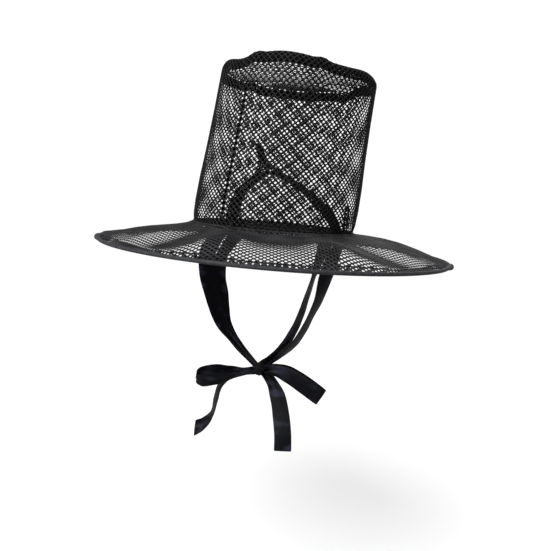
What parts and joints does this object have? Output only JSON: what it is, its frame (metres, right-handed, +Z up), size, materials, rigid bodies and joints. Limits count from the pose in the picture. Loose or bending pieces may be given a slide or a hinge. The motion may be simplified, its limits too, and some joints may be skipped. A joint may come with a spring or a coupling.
{
  "type": "korean gat",
  "caption": "Tall-crowned black net hat with a wide round brim, a net strap over the head inside and a satin ribbon tied in a bow under the chin.",
  "frame": {"origin": "middle of the head opening, in the plane where the crown meets the brim", "axes": "+Z up through the crown, -Y towards the wearer's front, +X towards the wearer's left"},
  "size_m": [0.385, 0.385, 0.4264],
  "materials": {
    "net": "matte",
    "binding": "satin",
    "satin": "satin"
  },
  "bodies": {
    "root": {"crown_wall": "net", "crown_top": "net", "crown_top_hem": "net", "crown_base_hem": "net", "crown_seam": "net", "brim": "net", "brim_hem": "net", "head_strap": "net", "strap_tab": "net", "strap_loop": "net", "brim_binding": "binding", "ribbon_left_front": "satin", "ribbon_left_back": "satin", "ribbon_right_front": "satin", "ribbon_right_back": "satin", "chin_knot": "satin", "bow_loop_right": "satin", "bow_loop_left": "satin", "bow_tail_right": "satin", "bow_tail_left": "satin"}
  },
  "joints": []
}
